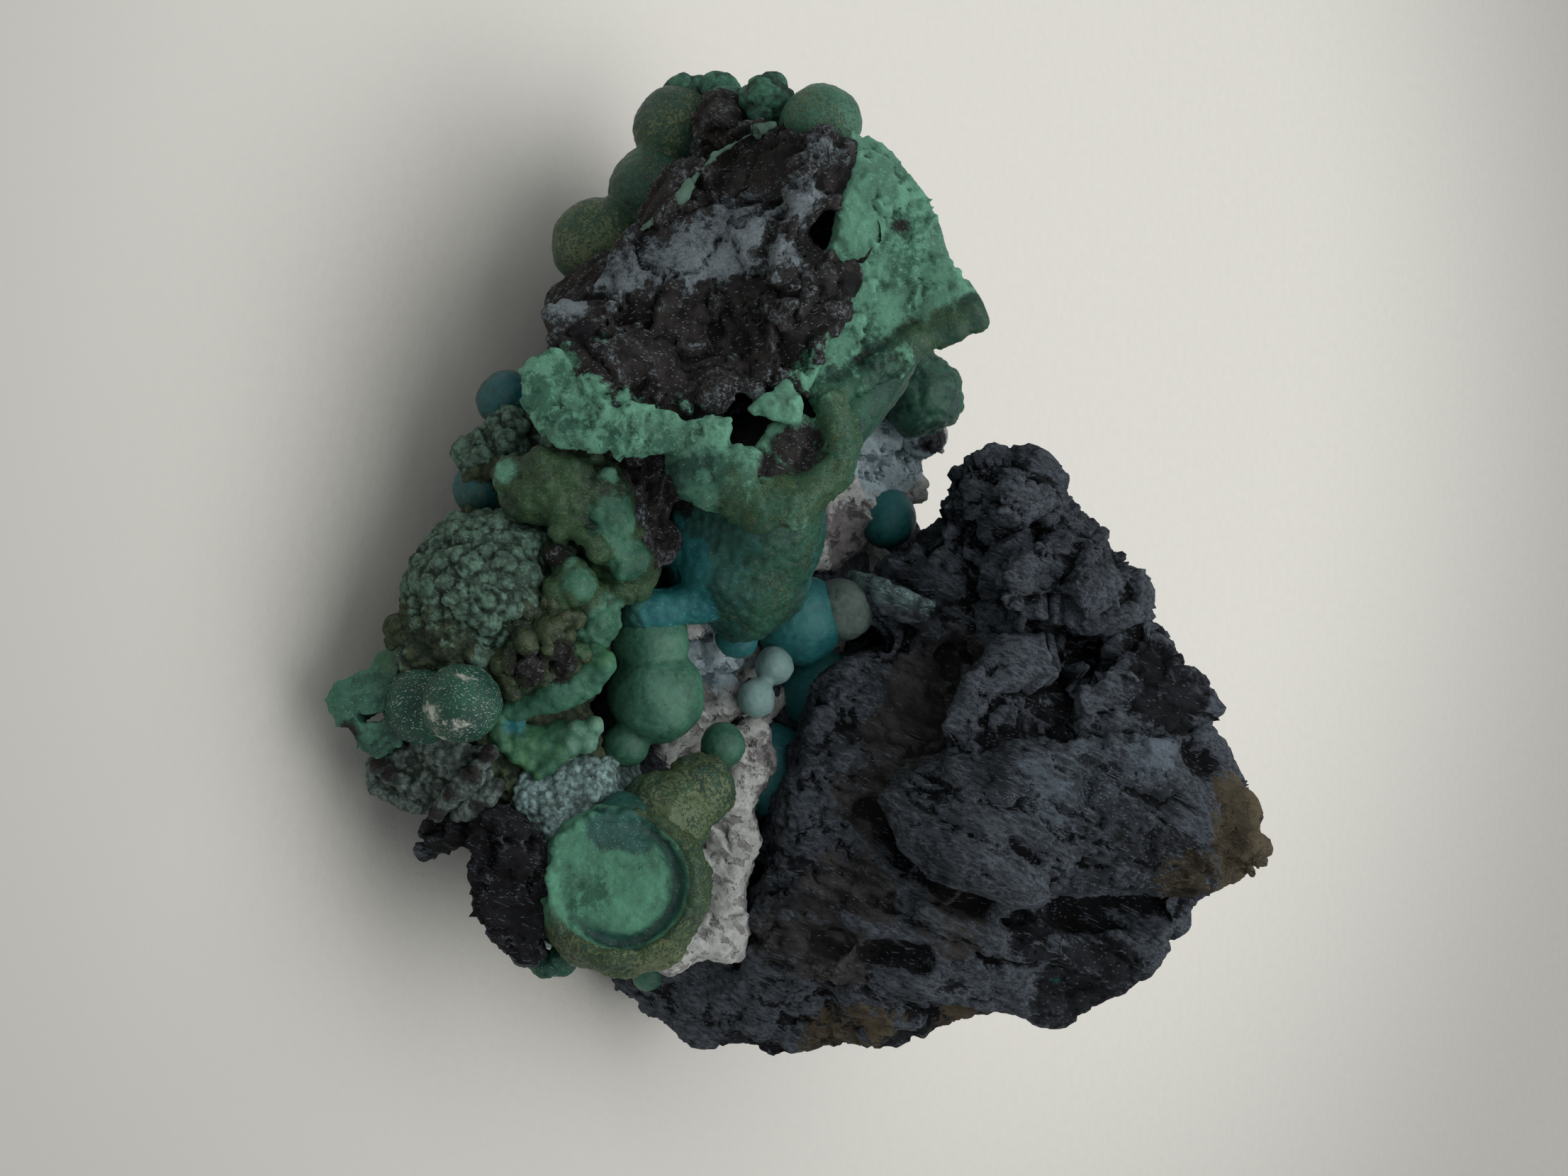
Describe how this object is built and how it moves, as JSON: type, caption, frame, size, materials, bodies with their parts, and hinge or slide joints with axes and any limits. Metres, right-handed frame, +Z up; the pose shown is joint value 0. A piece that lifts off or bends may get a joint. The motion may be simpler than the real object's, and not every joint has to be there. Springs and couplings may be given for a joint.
{
  "type": "chrysocolla and malachite mineral specimen",
  "caption": "Natural mineral specimen: a leaning dark slab and a broken crag around a hollow, with grape-like blue-green and green balls; stands on a flat base.",
  "frame": {"origin": "on the flat base, under the middle of the specimen", "axes": "+X to the right of the display side, +Y to the back, +Z up"},
  "size_m": [0.0644, 0.0497, 0.0431],
  "materials": {
    "specimen": null
  },
  "bodies": {
    "root": {"specimen": "specimen"}
  },
  "joints": []
}
